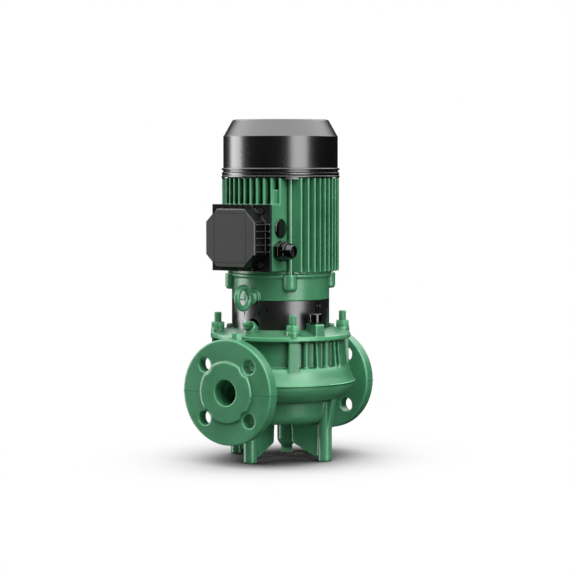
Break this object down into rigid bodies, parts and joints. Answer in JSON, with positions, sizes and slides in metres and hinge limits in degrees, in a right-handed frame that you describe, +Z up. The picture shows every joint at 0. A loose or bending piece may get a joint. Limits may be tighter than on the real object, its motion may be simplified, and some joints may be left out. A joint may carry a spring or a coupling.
{
  "type": "circulation pump",
  "caption": "Vertical inline circulation pump: flanged volute casing on four legs, stool with shaft guard, finned motor with terminal box and fan cover.",
  "frame": {"origin": "on the motor axis at floor level, under the four legs", "axes": "+Z up the motor axis, pipe along Y with the suction flange facing -Y, terminal box on the -Y side"},
  "size_m": [0.202, 0.26, 0.4579],
  "materials": {
    "green_paint": "satin green paint on castings",
    "gloss_black_plastic": "gloss black moulded plastic",
    "matt_black_plastic": "matt black moulded plastic",
    "black_sheet": "satin black sheet steel",
    "black_steel": "black oxide steel",
    "rubber": "black rubber",
    "bronze": "machined bronze",
    "raw_iron": "unpainted iron",
    "bright_steel": "machined steel",
    "copper_wire": "varnished copper windings",
    "cast_aluminium": "cast aluminium",
    "ceramic": "ceramic seal face",
    "carbon": "carbon seal face",
    "board_plastic": "terminal board"
  },
  "bodies": {
    "root": {"pump_casing": "green_paint", "wear_ring": "bronze", "casing_cover": "raw_iron", "casing_gasket": "rubber", "seal_seat": "ceramic", "suction_port_plug": "green_paint", "discharge_port_plug": "green_paint", "drain_plug": "green_paint", "casing_studs": "green_paint", "casing_nuts": "green_paint", "stool": "green_paint", "stool_cap_screws": "black_steel", "stool_motor_screws": "bright_steel", "guard_front": "black_sheet", "guard_rear": "black_sheet", "guard_screws": "black_steel", "vent_body": "green_paint", "drive_end_shield": "green_paint", "eyebolt_front": "green_paint", "eyebolt_rear": "green_paint", "tie_bolts": "green_paint", "motor_housing": "green_paint", "stator_core": "raw_iron", "stator_windings": "copper_wire", "rear_end_shield": "green_paint", "drive_bearing_outer": "bright_steel", "rear_bearing_outer": "bright_steel", "wave_spring": "bright_steel", "fan_cover": "gloss_black_plastic", "terminal_gasket": "rubber", "terminal_board": "board_plastic", "terminal_studs": "bronze", "terminal_cover": "matt_black_plastic", "terminal_cover_screws": "black_steel", "gland_body": "matt_black_plastic", "gland_seal": "rubber", "gland_nut": "matt_black_plastic", "blind_plug": "matt_black_plastic", "earth_screw": "bronze"},
    "rotor": {"impeller": "bronze", "impeller_key": "bright_steel", "impeller_nut": "bright_steel", "coupling_shaft": "bright_steel", "coupling_screws": "bright_steel", "seal_ring": "carbon", "seal_spring": "bright_steel", "motor_shaft": "bright_steel", "rotor_core": "raw_iron", "rotor_cage": "cast_aluminium", "fan": "matt_black_plastic", "fan_clip": "bright_steel", "drive_bearing_inner": "bright_steel", "drive_bearing_balls": "bright_steel", "rear_bearing_inner": "bright_steel", "rear_bearing_balls": "bright_steel"},
    "vent_screw": {"vent_screw": "bright_steel"}
  },
  "joints": [
    {"name": "rotor_spin", "type": "hinge", "parent": "root", "child": "rotor", "pos_m": [0, 0, 0.2], "axis": [0, 0, 1], "continuous": true},
    {"name": "vent_turn", "type": "hinge", "parent": "root", "child": "vent_screw", "pos_m": [0, -0.075, 0.1827], "axis": [0, -0.866, 0.5], "range_deg": [0, 360]}
  ]
}
